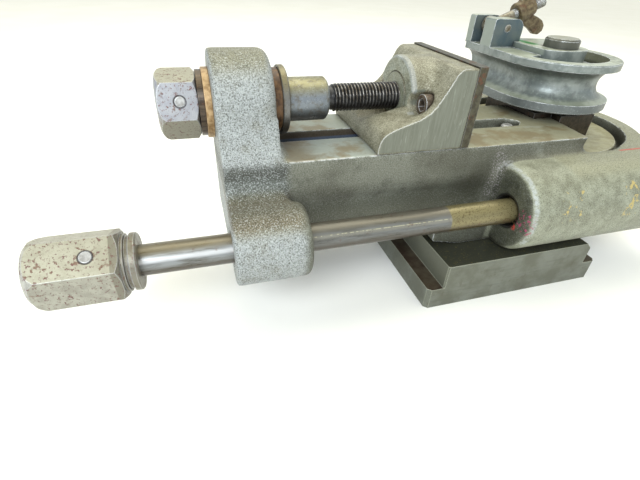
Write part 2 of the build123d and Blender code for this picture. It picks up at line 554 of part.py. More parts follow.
# ---------------------------------------------------------------- slide
def slide_block():
    toe = [(SLIDE_X0, DECK_Z + 0.1), (SLIDE_X0 + 0.5, 124), (SLIDE_X0 + 2.2, 128.5), (-197.0, 131.4)]
    ramp = [(-191.4, 134.2), (-184.5, 136.6), (-174.0, 139.9), (-167.4, 143.7), (-163.2, 148.2),
            (-159.1, 155.4), (-155.6, 161.8), (-152.8, 167.4), (-150.6, 170.2), (-148.0, SLIDE_Z1)]
    heel = [(SLIDE_X1, SLIDE_Z1), (SLIDE_X1, DECK_Z + 0.1)]
    block = prism_xz(toe + ramp + heel, ARM_Y0, ARM_Y1)
    boss = cyl_x(BOSS_X0, SLIDE_X1 - 2, SCREW_Y, SCREW_Z, SLIDE_BOSS_R)
    boss = fillet(boss.edges().filter_by(GeomType.CIRCLE).sort_by(Axis.X)[0], 1.5)
    boss &= box(-220, -100, -80, 20, DECK_Z + 0.1, SLIDE_Z1)
    root = cyl_x(-178, SLIDE_X1 - 2, SCREW_Y, SCREW_Z - 8, SLIDE_BOSS_R)
    block += boss + (root & box(-220, -100, -80, 20, DECK_Z + 0.1, 139))
    block -= cyl_x(BOSS_X0 - 1, NUT_X1, SCREW_Y, SCREW_Z, NUT_R)
    block -= cyl_x(-210, BOSS_X0, SCREW_Y, SCREW_Z, COLLAR_R + 0.7)
    block -= cyl_x(NUT_X1 - 1, SLIDE_X1 + 1, SCREW_Y, SCREW_Z, 10.5)
    for side in (-1, 1):
        y = SCREW_Y + side * PLATE_SCREW_DY
        block -= cyl_x(SLIDE_X0 - 1, -156.4, y, PLATE_SCREW_Z, 8.0)
        block -= cyl_x(-157, SLIDE_X1 + 1, y, PLATE_SCREW_Z, 4.8)
    block -= box(KEY_X0 - 0.1, KEY_X1 + 0.1, SCREW_Y - 8.65, SCREW_Y + 8.65, DECK_Z - 1, DECK_Z + 5)
    for x in KEEPER_SCREWS:
        block -= cyl_z(DECK_Z, 126, x, SCREW_Y, 3.3)
    return block


KEEPER_SCREWS = (-184.0, -156.0)


def feed_nut():
    return washer(BOSS_X0 - 0.4, NUT_X1, SCREW_Y, SCREW_Z, NUT_R, SCREW_MAJOR_R + 0.08)


def face_plate():
    plate = box(SLIDE_X1 + 0.1, PLATE_X1, ARM_Y0, ARM_Y1, DECK_Z + 0.4, PLATE_Z1)
    plate -= cyl_x(-140, -120, SCREW_Y, SCREW_Z, 11.0)
    for side in (-1, 1):
        plate -= cyl_x(-140, -132.0, SCREW_Y + side * PLATE_SCREW_DY, PLATE_SCREW_Z, 4.8)
    return plate


def plate_screw(side):
    screw = cap_screw(7.1, 9.4, 4.7, 33.4, 4.4)
    return Pos(-165.9, SCREW_Y + side * PLATE_SCREW_DY, PLATE_SCREW_Z) * Rot(0, -90, 0) * screw


def guide_key():
    key = box(KEY_X0, KEY_X1, SCREW_Y - 8.6, SCREW_Y + 8.6, DECK_Z - DECK_T - 0.1, DECK_Z + 4.9)
    for x in KEEPER_SCREWS:
        key -= cyl_z(90, 130, x, SCREW_Y, 3.4)
    return key


def keeper_plate():
    plate = box(KEY_X0, KEY_X1, SCREW_Y - 24, SCREW_Y + 24, DECK_Z - DECK_T - 8.2, DECK_Z - DECK_T - 0.2)
    for x in KEEPER_SCREWS:
        plate -= cyl_z(90, 130, x, SCREW_Y, 3.4)
    return plate


def keeper_screw(i):
    return Pos(KEEPER_SCREWS[i], SCREW_Y, DECK_Z - DECK_T - 8.3) * hex_screw(11.0, 4.5, 3.2, 32.0)


# ---------------------------------------------------------------- all pieces
PIECES = {
    "body_casting": body_casting,
    "mounting_foot": mounting_foot,
    "bottom_cover": bottom_cover,
    "cover_disc": cover_disc,
    "bearing_block": bearing_block,
    "spindle_bush_upper": spindle_bush_upper,
    "spindle_bush_lower": spindle_bush_lower,
    "end_cap": end_cap,
    "slot_stop_pin": slot_stop_pin,
    "shaft_bush_bracket": lambda: washer(-304.5, -258.0, SHAFT_Y, SHAFT_Z, 13.0, SHAFT_R + 0.05),
    "shaft_bush_barrel": lambda: washer(-87.9, -60.5, SHAFT_Y, SHAFT_Z, 14.0, SHAFT_R + 0.05),
    "shaft_bush_end": lambda: washer(70.5, 95.5, SHAFT_Y, SHAFT_Z, 14.0, SHAFT_R + 0.05),
    "screw_bush": lambda: washer(BRACKET_X0, BRACKET_X1, SCREW_Y, SCREW_Z, 16.0, 11.05),
    "thrust_washer_left_steel": lambda: washer(-313.6, -310.0, SCREW_Y, SCREW_Z, 20.6, 11.1),
    "thrust_washer_left_bronze": lambda: washer(-309.9, -305.6, SCREW_Y, SCREW_Z, 22.0, 11.1),
    "thrust_washer_right_bronze": lambda: washer(-266.9, -261.4, SCREW_Y, SCREW_Z, 20.8, 11.1),
    "drive_shaft": drive_shaft,
    "drive_hex": drive_hex,
    "drive_hex_pin": drive_hex_pin,
    "worm": worm,
    "worm_key": worm_key,
    "spindle": spindle,
    "worm_wheel": worm_wheel,
    "wheel_key": wheel_key,
    "radius_block": radius_block,
    "die_key": die_key,
    "clevis_pin": clevis_pin,
    "swing_bolt": swing_bolt,
    "wing_nut": wing_nut,
    "feed_screw": feed_screw,
    "feed_hex": feed_hex,
    "feed_hex_pin": feed_hex_pin,
    "slide_block": slide_block,
    "feed_nut": feed_nut,
    "face_plate": face_plate,
    "plate_screw_front": lambda: plate_screw(-1),
    "plate_screw_back": lambda: plate_screw(1),
    "guide_key": guide_key,
    "keeper_plate": keeper_plate,
    "keeper_screw_1": lambda: keeper_screw(0),
    "keeper_screw_2": lambda: keeper_screw(1),
}
for n in range(4):
    PIECES["foot_screw_%d" % (n + 1)] = lambda n=n: foot_screw(n)
    PIECES["bottom_cover_screw_%d" % (n + 1)] = lambda n=n: cover_screw(n)
    PIECES["end_cap_screw_%d" % (n + 1)] = lambda n=n: cap_screw_right(n)
for n in range(3):
    PIECES["block_screw_%d" % (n + 1)] = lambda n=n: block_screw(n)

for name, make in PIECES.items():
    shape = make()
    solids = shape.solids()
    if len(solids) != 1:
        print("check", name, "has", len(solids), "solids")
    export_step(shape if len(solids) != 1 else solids[0], "parts/%s.step" % name)
    size = shape.bounding_box()
    print(name, round(shape.volume), [round(v, 1) for v in (*size.min, *size.max)])
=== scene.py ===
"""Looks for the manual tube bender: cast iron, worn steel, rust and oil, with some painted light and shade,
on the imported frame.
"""

import json
import math

import bpy
import numpy as np
from mathutils import Matrix, Vector


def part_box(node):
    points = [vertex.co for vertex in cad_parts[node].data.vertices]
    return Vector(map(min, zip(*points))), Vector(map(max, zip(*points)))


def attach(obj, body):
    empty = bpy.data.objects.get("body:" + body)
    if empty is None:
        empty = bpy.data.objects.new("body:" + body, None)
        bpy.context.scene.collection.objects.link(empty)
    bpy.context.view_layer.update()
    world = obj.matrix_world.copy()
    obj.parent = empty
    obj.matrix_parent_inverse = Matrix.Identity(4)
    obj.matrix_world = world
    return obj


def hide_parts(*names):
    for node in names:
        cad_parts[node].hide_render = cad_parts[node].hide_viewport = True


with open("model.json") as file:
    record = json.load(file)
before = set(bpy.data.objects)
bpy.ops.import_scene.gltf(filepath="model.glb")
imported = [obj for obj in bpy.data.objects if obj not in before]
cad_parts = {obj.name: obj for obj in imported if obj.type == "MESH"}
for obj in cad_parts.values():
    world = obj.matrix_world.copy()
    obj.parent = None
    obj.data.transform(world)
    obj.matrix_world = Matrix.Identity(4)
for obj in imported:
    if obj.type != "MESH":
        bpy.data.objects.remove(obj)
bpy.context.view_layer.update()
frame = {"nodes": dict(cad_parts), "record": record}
nodes = frame["nodes"]
MM = 0.001

# ---------------------------------------------------------------- places in metres, from the frame
BUSH_DEPTH = 0.0106
CASE_HEIGHT = 0.0663
NECK_LENGTH = 0.013
DECK_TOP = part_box("slide_block")[0].z
ARM_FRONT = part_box("slide_block")[0].y
ARM_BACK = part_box("slide_block")[1].y
SHAFT_Y = sum(c.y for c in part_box("drive_shaft")) / 2
SHAFT_Z = sum(c.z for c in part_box("drive_shaft")) / 2
SCREW_Y = sum(c.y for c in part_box("feed_nut")) / 2
SCREW_Z = sum(c.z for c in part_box("feed_nut")) / 2
FOOT_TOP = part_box("mounting_foot")[1].z
BRACKET_LEFT, BRACKET_RIGHT = (c.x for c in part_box("screw_bush"))
BARREL_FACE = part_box("shaft_bush_barrel")[0].x - BUSH_DEPTH
SLIDE_LEFT, SLIDE_RIGHT = (c.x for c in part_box("slide_block"))
BOSS_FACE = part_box("feed_nut")[0].x
CASE_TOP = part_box("body_casting")[0].z + CASE_HEIGHT
HEX_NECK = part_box("drive_hex")[1].x - NECK_LENGTH
# places inside one piece, which its box doesn't give
SHAFT_TAN_X = -0.152
FOOT_BLOCK_X = -0.152
COLLAR_X, THREAD_X = -0.2545, -0.2268
RED_STREAK_X, RED_STREAK_Y = 0.016, -0.0812
LUG_RIGHT = -0.020
LOW_RIM_TOP, GROOVE_LOW, GROOVE_HIGH = 0.1335, 0.1345, 0.158
RIM_TOP, LUG_FOOT, PAD_TOP = 0.165, 0.1655, 0.1695
SPINDLE_R = 0.0148
# the hexes' cross pins, in degrees from +Y about their shafts
DRIVE_HEX_LEAN, FEED_HEX_LEAN = 127.1, 160.2


# ---------------------------------------------------------------- node helpers
OPEN = (None, None)
FAR = 9.0


class Look:
    """A Principled material built up from named procedural parts."""

    def __init__(self, name, metallic=0.5, specular=0.5):
        self.material = bpy.data.materials.new(name)
        self.material.use_nodes = True
        self.tree = self.material.node_tree
        self.tree.nodes.clear()
        self.out = self.tree.nodes.new("ShaderNodeOutputMaterial")
        self.shader = self.tree.nodes.new("ShaderNodeBsdfPrincipled")
        self.tree.links.new(self.shader.outputs[0], self.out.inputs[0])
        self.shader.inputs["Metallic"].default_value = metallic
        self.shader.inputs["Specular IOR Level"].default_value = specular
        self.place = self.tree.nodes.new("ShaderNodeTexCoord").outputs["Object"]
        self.bend = None

    def node(self, kind, **settings):
        made = self.tree.nodes.new(kind)
        for key, value in settings.items():
            setattr(made, key, value)
        return made

    def feed(self, socket, value):
        if isinstance(value, bpy.types.NodeSocket):
            self.tree.links.new(value, socket)
        elif isinstance(value, (tuple, list)) and len(value) == 3 and socket.type == "RGBA":
            socket.default_value = (*value, 1.0)
        else:
            socket.default_value = value

    def math(self, operation, a, b=0.0):
        made = self.node("ShaderNodeMath", operation=operation)
        self.feed(made.inputs[0], a)
        self.feed(made.inputs[1], b)
        return made.outputs[0]

    def noise(self, size_mm, detail=5.0, rough=0.55, stretch=None):
        made = self.node("ShaderNodeTexNoise")
        made.inputs["Scale"].default_value = 1000.0 / size_mm
        made.inputs["Detail"].default_value = detail
        made.inputs["Roughness"].default_value = rough
        self.feed(made.inputs["Vector"], self.stretched(stretch))
        return made.outputs[0]

    def stretched(self, stretch):
        if stretch is None:
            return self.place
        made = self.node("ShaderNodeMapping")
        self.feed(made.inputs["Vector"], self.place)
        made.inputs["Scale"].default_value = stretch
        return made.outputs[0]

    def cells(self, size_mm):
        made = self.node("ShaderNodeTexVoronoi")
        made.inputs["Scale"].default_value = 1000.0 / size_mm
        self.feed(made.inputs["Vector"], self.place)
        return made.outputs["Distance"]

    def ramp(self, value, low, high, to_low=0.0, to_high=1.0):
        made = self.node("ShaderNodeMapRange", interpolation_type="SMOOTHSTEP")
        for socket, number in zip(("Value", "From Min", "From Max", "To Min", "To Max"),
                                  (value, low, high, to_low, to_high)):
            self.feed(made.inputs[socket], number)
        return made.outputs[0]

    def mix(self, share, a, b):
        made = self.node("ShaderNodeMix", data_type="RGBA")
        self.feed(made.inputs[0], share)
        self.feed(made.inputs[6], a)
        self.feed(made.inputs[7], b)
        return made.outputs[2]

    def axis(self, name):
        made = self.node("ShaderNodeSeparateXYZ")
        self.feed(made.inputs[0], self.place)
        return made.outputs[name]

    def facing(self, name):
        geometry = self.node("ShaderNodeNewGeometry")
        made = self.node("ShaderNodeSeparateXYZ")
        self.feed(made.inputs[0], geometry.outputs["Normal"])
        return made.outputs[name]

    def band(self, name, low, high, soft, ragged=0.0):
        """1 between low and high along an axis, with soft ragged ends; metres."""
        value = self.axis(name)
        if ragged:
            wander = self.math("SUBTRACT", self.noise(9.0), 0.5)
            value = self.math("ADD", value, self.math("MULTIPLY", wander, ragged))
        rise = self.ramp(value, low - soft, low + soft)
        fall = self.ramp(value, high - soft, high + soft, 1.0, 0.0)
        return self.math("MULTIPLY", rise, fall)

    def area(self, x=OPEN, y=OPEN, z=OPEN, soft=0.001, ragged=0.0):
        """1 inside a box, each side (low, high) in metres; a None limit is left open."""
        bands = [self.band(name, -FAR if low is None else low, FAR if high is None else high, soft, ragged)
                 for name, (low, high) in zip("XYZ", (x, y, z)) if (low, high) != OPEN]
        return self.both(*bands)

    def edge(self, radius_mm, low=0.002, high=0.06):
        """Worn edge mask, and the rounded normal that goes with it."""
        bevel = self.node("ShaderNodeBevel", samples=6)
        bevel.inputs["Radius"].default_value = radius_mm * MM
        geometry = self.node("ShaderNodeNewGeometry")
        dot = self.node("ShaderNodeVectorMath", operation="DOT_PRODUCT")
        self.feed(dot.inputs[0], bevel.outputs[0])
        self.feed(dot.inputs[1], geometry.outputs["Normal"])
        self.bend = bevel.outputs[0]
        return self.ramp(self.math("SUBTRACT", 1.0, dot.outputs["Value"]), low, high)

    def scaled(self, value, share):
        return self.math("MULTIPLY", value, share)

    def outside(self, value):
        return self.math("SUBTRACT", 1.0, value)

    def both(self, *values):
        total = values[0]
        for value in values[1:]:
            total = self.math("MULTIPLY", total, value)
        return total

    def mottled(self, value, low, high, one, two):
        """One colour where the value is under low, the other where it is over high."""
        return self.mix(self.ramp(value, low, high), one, two)

    def tint(self, share, colour, other, amount=1.0):
        """Lay another colour over this one where the share is high."""
        return self.mix(self.scaled(share, amount) if amount != 1.0 else share, colour, other)

    def ring(self, node, lean):
        """A thin stain round a cross pin; lean is the pin's angle from +Y about the shaft, in degrees."""
        low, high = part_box(node)
        radius = (high.x - low.x) / 2
        along_y, along_z = math.cos(math.radians(lean)), math.sin(math.radians(lean))
        centre = (low + high) / 2
        x, y, z = (self.math("SUBTRACT", self.axis(name), value) for name, value in zip("XYZ", centre))
        side = self.math("SUBTRACT", self.scaled(y, along_z), self.scaled(z, along_y))
        return self.ramp(self.length(x, side), radius + 0.0013, radius + 0.0007)

    def length(self, one, two):
        square = self.math("ADD", self.math("POWER", one, 2.0), self.math("POWER", two, 2.0))
        return self.math("SQRT", square)

    def radial(self, across, up):
        """Distance from an axis along X, in metres."""
        y = self.math("SUBTRACT", self.axis("Y"), across)
        z = self.math("SUBTRACT", self.axis("Z"), up)
        return self.length(y, z)

    def grime_and_shade(self, reach_mm, low, high):
        """1 in corners and crevices, from ambient occlusion; used for dirt there and as painted shade."""
        made = self.node("ShaderNodeAmbientOcclusion", samples=6)
        made.inputs["Distance"].default_value = reach_mm * MM
        return self.ramp(made.outputs["AO"], low, high, 1.0, 0.0)

    def bump(self, height, depth_mm, strength=1.0):
        made = self.node("ShaderNodeBump")
        made.inputs["Strength"].default_value = strength
        made.inputs["Distance"].default_value = depth_mm * MM
        self.feed(made.inputs["Height"], height)
        if self.bend is not None:
            self.feed(made.inputs["Normal"], self.bend)
        self.bend = made.outputs[0]

    def done(self, colour, roughness):
        self.feed(self.shader.inputs["Base Color"], colour)
        self.feed(self.shader.inputs["Roughness"], roughness)
        if self.bend is not None:
            self.feed(self.shader.inputs["Normal"], self.bend)
        return self.material


# ---------------------------------------------------------------- colours
EXPOSED = 0.62


def tone(red, green, blue):
    """Linear colour that shows as the given display values under this scene's light."""
    return tuple(min(1.0, EXPOSED * ((c / 255.0 + 0.055) / 1.055) ** 2.4) for c in (red, green, blue))


BRIGHT = (0.80, 0.84, 0.88)
BLACK = (0.012, 0.011, 0.009)
# dark colour for dirt, also used as painted shade in corners and under the deck
GRIME_AND_SHADE = tone(52, 48, 38)
RUST = tone(112, 72, 48)
OIL = tone(98, 84, 60)
YELLOW_PAINT = tone(218, 198, 130)
GREEN_PAINT = tone(28, 150, 60)
RED_PAINT = tone(225, 80, 70)
PINK_PAINT = tone(190, 80, 120)


def grained(look, colour, pale, dark, size_mm, pits, crests):
    """Cast grain: dark pits and pale crests over a colour, each by its share. Returns (colour, height)."""
    grain = look.noise(size_mm, 2.5, 0.7)
    crest = look.scaled(look.ramp(grain, 0.52, 0.66), crests)
    pit = look.scaled(look.ramp(grain, 0.50, 0.36), pits)
    return look.mix(pit, look.mix(crest, colour, pale), dark), grain


def flecks(look, colour, paint, size_mm, cut, **box):
    """Ragged spots of paint inside a box given as for area."""
    spots = look.ramp(look.noise(size_mm, 3.0, 0.6), cut, cut + 0.04)
    return look.mix(look.both(look.area(soft=0.0015, ragged=0.003, **box), spots), colour, paint)


def body_look():
    look = Look("cast_body_iron", 0.25)
    blotch = look.noise(10.0, 6.0, 0.62)
    bracket = look.area(x=(None, BRACKET_RIGHT + 0.004), soft=0.004, ragged=0.006)
    colour = look.mix(bracket, wall_colour(look, blotch), bracket_colour(look, blotch))
    colour = barrel_colour(look, blotch, colour)
    colour, deck = deck_colour(look, colour)
    # grain and pits; dirt and painted shade in the corners; the deck is smooth
    rough_here = look.outside(look.scaled(deck, 0.9))
    pits = look.both(rough_here, look.math("ADD", 0.50, look.scaled(bracket, 0.25)))
    crests = look.both(rough_here, look.math("ADD", 0.20, look.scaled(bracket, 0.60)))
    colour, grain = grained(look, colour, tone(216, 222, 222), tone(66, 66, 56), 0.85, pits, crests)
    dots = look.ramp(look.cells(2.6), 0.20, 0.10)
    sparse = look.ramp(look.noise(14.0, 3.0), 0.50, 0.62)
    colour = look.tint(look.both(dots, sparse, rough_here), colour, tone(60, 56, 44), 0.6)
    shade = look.grime_and_shade(15.0, 0.25, 0.80)
    colour = look.tint(look.both(shade, look.outside(look.scaled(deck, 0.7))), colour, GRIME_AND_SHADE, 0.7)
    colour = body_wear(look, colour)
    colour = body_marks(look, colour)
    look.bump(look.both(grain, rough_here, look.math("ADD", 0.35, look.scaled(bracket, 0.65))), 0.55)
    return look.done(colour, look.ramp(blotch, 0.3, 0.7, 0.42, 0.58))


def wall_colour(look, blotch):
    """Dark olive-grey arm wall, darker towards the foot."""
    wall = look.mottled(look.noise(42.0, 3.0), 0.38, 0.62, tone(110, 110, 96), tone(140, 142, 128))
    wall = look.tint(look.ramp(blotch, 0.55, 0.75), wall, tone(92, 92, 78), 0.6)
    low = look.area(z=(None, 0.085), soft=0.008, ragged=0.006)
    return look.tint(low, wall, tone(98, 100, 86), 0.7)


def bracket_colour(look, blotch):
    """Pale bosses painted tan on top and blue-grey at the sides as light falls, with an olive and brown waist
    between them.
    """
    # painted light: tan where the bosses face up, pale blue-grey on their sides as lit from in front
    boss = look.mottled(look.facing("Z"), 0.55, 0.93, tone(184, 190, 190), tone(156, 154, 130))
    boss = look.tint(look.ramp(blotch, 0.48, 0.7), boss, tone(150, 150, 138), 0.6)
    waist = look.area(z=(0.0925, DECK_TOP - 0.002), soft=0.0035, ragged=0.005)
    height = look.axis("Z")
    # brown rust low in the waist; the darker olive near the deck is painted shade
    stain = look.mottled(height, DECK_TOP - 0.024, DECK_TOP - 0.016, tone(120, 106, 82), tone(92, 98, 88))
    boss = look.tint(waist, boss, stain, 0.75)
    # painted shade in a band just under the deck's edge
    painted_light_line = look.area(z=(DECK_TOP - 0.010, DECK_TOP), soft=0.003, ragged=0.004)
    return look.tint(painted_light_line, boss, GRIME_AND_SHADE, 0.45)


def barrel_colour(look, blotch, colour):
    """Pale olive barrel and case top, with a dark end face."""
    barrel = look.area(x=(BARREL_FACE - 0.004, None), y=(None, -0.0835), ragged=0.001)
    skin = look.mottled(blotch, 0.35, 0.65, tone(150, 152, 130), tone(182, 186, 164))
    colour = look.mix(barrel, colour, skin)
    # painted warm top light: the case top paler where it faces up
    up = look.ramp(look.facing("Z"), 0.80, 0.97)
    case = look.area(x=(-0.055, None), z=(None, CASE_TOP + 0.003), soft=0.004)
    colour = look.tint(look.both(case, up), colour, tone(178, 178, 150), 0.8)
    left = look.ramp(look.facing("X"), -0.75, -0.96)
    end = look.area(x=(BARREL_FACE - 0.002, BARREL_FACE + 0.002), z=(None, 0.104), soft=0.0004)
    face = look.mottled(blotch, 0.35, 0.65, tone(70, 72, 58), tone(100, 102, 84))
    return look.tint(look.both(left, end), colour, face, 0.95)


def deck_colour(look, colour):
    """Deck rubbed pale by the slide, with brown oil stains. Returns (colour, deck share)."""
    up = look.ramp(look.facing("Z"), 0.80, 0.97)
    deck = look.both(up, look.area(x=(BRACKET_RIGHT, None), z=(DECK_TOP - 0.003, None)))
    rubbed = look.mottled(look.axis("X"), -0.165, -0.125, tone(176, 184, 176), tone(168, 166, 140))
    stain = look.ramp(look.noise(24.0, 5.0, 0.6), 0.46, 0.60)
    rubbed = look.tint(stain, rubbed, tone(142, 126, 92), 0.75)
    streaks = look.ramp(look.noise(5.0, 5.0, 0.6, (0.25, 1.0, 1.0)), 0.56, 0.68)
    rubbed = look.tint(streaks, rubbed, tone(196, 200, 188), 0.5)
    oily = look.area(x=(None, BRACKET_RIGHT + 0.022), soft=0.008, ragged=0.012)
    rubbed = look.tint(oily, rubbed, tone(128, 112, 80), 0.7)
    colour = look.mix(deck, colour, rubbed)
    side = look.area(x=(-0.062, None), y=(None, ARM_FRONT + 0.004), z=(CASE_TOP + 0.001, DECK_TOP - 0.0015),
                     soft=0.0015, ragged=0.002)
    return look.tint(side, colour, tone(104, 102, 84), 0.6), deck


def body_wear(look, colour):
    """Worn edges, a painted highlight on the deck's front lip and on the barrel's shoulder, painted shade in
    the hollows round its root and in the bore mouth, and painted glints in the crease.
    """
    worn = look.edge(1.3, 0.004, 0.10)
    scuffs_and_sheen = look.ramp(look.noise(3.0, 5.0, 0.7), 0.36, 0.58)
    colour = look.tint(look.both(worn, scuffs_and_sheen), colour, BRIGHT, 0.8)
    # painted highlight along the deck's rubbed front edge left of the slide, laid in patches
    lip_highlight = look.area(x=(BRACKET_RIGHT + 0.004, SLIDE_LEFT), y=(None, ARM_FRONT + 0.0020),
                    z=(DECK_TOP - 0.0010, None), soft=0.0003, ragged=0.0006)
    rubbed = look.ramp(look.noise(6.0, 4.0, 0.6), 0.36, 0.56)
    colour = look.tint(look.both(lip_highlight, rubbed), colour, BRIGHT, 0.3)
    # painted shade in the hollow where the arm wall meets the barrel
    hollow = look.area(x=(BARREL_FACE - 0.042, BARREL_FACE - 0.006), y=(None, ARM_FRONT + 0.005),
                       z=(0.076, 0.098), soft=0.012, ragged=0.004)
    colour = look.tint(hollow, colour, tone(64, 64, 50), 0.6)
    # painted highlight: a pale blue-white band on the barrel's rounded shoulder, broken by the scuffs
    leftward = look.facing("X")
    shoulder = look.both(look.ramp(leftward, -0.86, -0.64), look.ramp(leftward, -0.22, -0.42))
    rim = look.area(x=(BARREL_FACE - 0.001, BARREL_FACE + 0.009), y=(None, -0.081), z=(0.056, None),
                    soft=0.002)
    colour = look.tint(look.both(shoulder, rim, scuffs_and_sheen), colour, tone(214, 222, 228), 0.5)
    # painted shade: black in the bore mouth round the shaft
    mouth = look.both(look.ramp(look.radial(SHAFT_Y, SHAFT_Z), 0.0142, 0.0132),
                      look.area(x=(BARREL_FACE - 0.003, BARREL_FACE + 0.020)))
    colour = look.tint(mouth, colour, BLACK, 0.9)
    # painted glints along the crease between the barrel face and the arm
    crease = look.area(x=(BARREL_FACE - 0.006, BARREL_FACE + 0.004), y=(-0.086, -0.0745), z=(0.076, None),
                       soft=0.002, ragged=0.003)
    crease_glints = look.ramp(look.noise(1.0, 2.0, 0.7), 0.54, 0.62)
    return look.tint(look.both(crease, crease_glints), colour, tone(190, 184, 186), 0.7)


def body_marks(look, colour):
    """Colours in the deck slot, and stray marks of paint."""
    slot = look.area(x=(BRACKET_RIGHT, -0.195), y=(SCREW_Y - 0.0092, SCREW_Y + 0.0092),
                     z=(None, DECK_TOP - 0.001), soft=0.0003)
    # painted reflection: blue-grey low on the slot's walls; a rust-brown band at the top
    height = look.axis("Z")
    sides = look.mottled(height, DECK_TOP - 0.006, DECK_TOP - 0.005, tone(96, 112, 140), tone(92, 76, 60))
    colour = look.tint(slot, colour, sides, 0.8)
    face = (BARREL_FACE - 0.001, BARREL_FACE + 0.003)
    colour = flecks(look, colour, PINK_PAINT, 2.4, 0.56, x=face, y=(-0.126, -0.112), z=(0.066, 0.082))
    colour = flecks(look, colour, RED_PAINT, 1.6, 0.50, x=face, y=(-0.113, -0.109), z=(0.064, 0.068))
    colour = flecks(look, colour, YELLOW_PAINT, 4.5, 0.60,
                    x=(-0.073, -0.050), y=(-0.128, -0.116), z=(0.076, 0.096))
    colour = flecks(look, colour, YELLOW_PAINT, 5.5, 0.56,
                    x=(-0.014, 0.004), y=(-0.128, -0.114), z=(0.074, 0.098))
    streak = look.area(x=(RED_STREAK_X, RED_STREAK_X + 0.045),
                       y=(RED_STREAK_Y - 0.0010, RED_STREAK_Y + 0.0010),
                       z=(CASE_TOP - 0.004, None), soft=0.0005)
    colour = look.tint(streak, colour, RED_PAINT, 0.85)
    deck = (DECK_TOP - 0.001, None)
    return flecks(look, colour, RED_PAINT, 2.5, 0.45, x=(-0.180, -0.168), y=(-0.062, -0.058), z=deck)


def slide_look():
    look = Look("cast_slide_iron", 0.25)
    blotch = look.noise(9.0, 6.0, 0.65)
    side = look.ramp(look.math("ABSOLUTE", look.facing("Y")), 0.93, 0.99)
    left = look.ramp(look.facing("X"), -0.80, -0.96)
    boss = look.both(left, look.area(x=(BOSS_FACE - 0.002, BOSS_FACE + 0.003), soft=0.0004))
    ramp = look.mottled(blotch, 0.35, 0.65, tone(140, 136, 112), tone(176, 174, 152))
    # painted shade: brown in the hollows under the screw
    valley_shade = look.grime_and_shade(9.0, 0.25, 0.80)
    ramp = look.tint(valley_shade, ramp, tone(110, 92, 62), 0.5)
    face = look.mottled(blotch, 0.35, 0.65, tone(150, 152, 128), tone(178, 184, 168))
    colour = look.mix(boss, ramp, face)
    colour, height = grained(look, colour, tone(226, 226, 212), tone(66, 60, 44), 0.95, 0.5, 0.45)
    brushed = look.noise(1.6, 4.0, 0.7, (1.0, 1.0, 0.07))
    plane = look.mottled(brushed, 0.38, 0.64, tone(128, 131, 117), tone(140, 144, 130))
    scratches = look.ramp(look.noise(1.2, 3.0, 0.6, (1.0, 1.0, 0.12)), 0.62, 0.70)
    plane = look.tint(scratches, plane, tone(176, 180, 168), 0.55)
    colour = look.mix(side, colour, plane)
    across = look.radial(SCREW_Y, SCREW_Z)
    arc = look.both(look.ramp(across, 0.0160, 0.0163), look.ramp(across, 0.0172, 0.0169), boss,
                    look.ramp(look.axis("Z"), SCREW_Z - 0.004, SCREW_Z + 0.006))
    colour = look.tint(arc, colour, BLACK, 0.9)
    # painted highlight on the rounded rim of the boss face, above the screw
    around = look.both(look.ramp(across, 0.0246, 0.0262), look.ramp(across, 0.0290, 0.0280))
    face_top = look.area(x=(BOSS_FACE - 0.001, BOSS_FACE + 0.004), z=(SCREW_Z - 0.012, None), soft=0.0006)
    lip_highlight = look.both(around, face_top)
    colour = look.tint(lip_highlight, colour, tone(206, 214, 222), 0.35)
    worn = look.both(look.edge(0.9, 0.004, 0.05), look.ramp(across, 0.019, 0.021))
    outline = look.both(worn, look.area(x=(None, SLIDE_RIGHT - 0.006), soft=0.002))
    colour = look.tint(outline, colour, BRIGHT, 0.55)
    rough_here = look.outside(look.scaled(side, 0.85))
    look.bump(look.both(height, rough_here), 0.30)
    return look.done(colour, look.ramp(blotch, 0.3, 0.7, 0.40, 0.55))


def foot_look():
    look = Look("foot_machined_iron", 0.30)
    lines = look.noise(2.4, 5.0, 0.65, (0.06, 1.0, 1.0))
    blotch = look.noise(24.0, 5.0, 0.6)
    colour = look.mottled(blotch, 0.36, 0.64, tone(112, 114, 98), tone(134, 138, 126))
    colour = look.tint(look.ramp(look.noise(7.0, 5.0, 0.65), 0.56, 0.72), colour, tone(92, 84, 62), 0.5)
    colour = look.tint(look.ramp(lines, 0.52, 0.66), colour, tone(106, 108, 96), 0.5)
    # painted light: the block's left side lighter, as lit from the left
    left = look.ramp(look.facing("X"), -0.80, -0.96)
    block_side = look.both(left, look.area(x=(FOOT_BLOCK_X, None)))
    colour = look.tint(block_side, colour, tone(132, 134, 118), 0.8)
    # the dark oily top, also painted dark as the shade under the arm
    up = look.ramp(look.facing("Z"), 0.8, 0.98)
    top = look.both(up, look.area(z=(FOOT_TOP - 0.002, None)))
    colour = look.tint(top, colour, tone(72, 74, 62), 0.92)
    specks = look.ramp(look.noise(1.3, 2.0), 0.64, 0.68)
    colour = look.tint(look.both(top, specks), colour, tone(150, 140, 80), 0.7)
    step = look.both(up, look.area(z=(None, FOOT_TOP - 0.008)))
    rusty = look.mottled(blotch, 0.4, 0.6, tone(66, 44, 34), tone(104, 92, 74))
    colour = look.tint(step, colour, rusty, 0.9)
    worn = look.edge(1.0, 0.004, 0.08)
    colour = look.tint(worn, colour, tone(205, 208, 188), 0.75)
    look.bump(lines, 0.05)
    return look.done(colour, look.ramp(blotch, 0.3, 0.7, 0.46, 0.34))


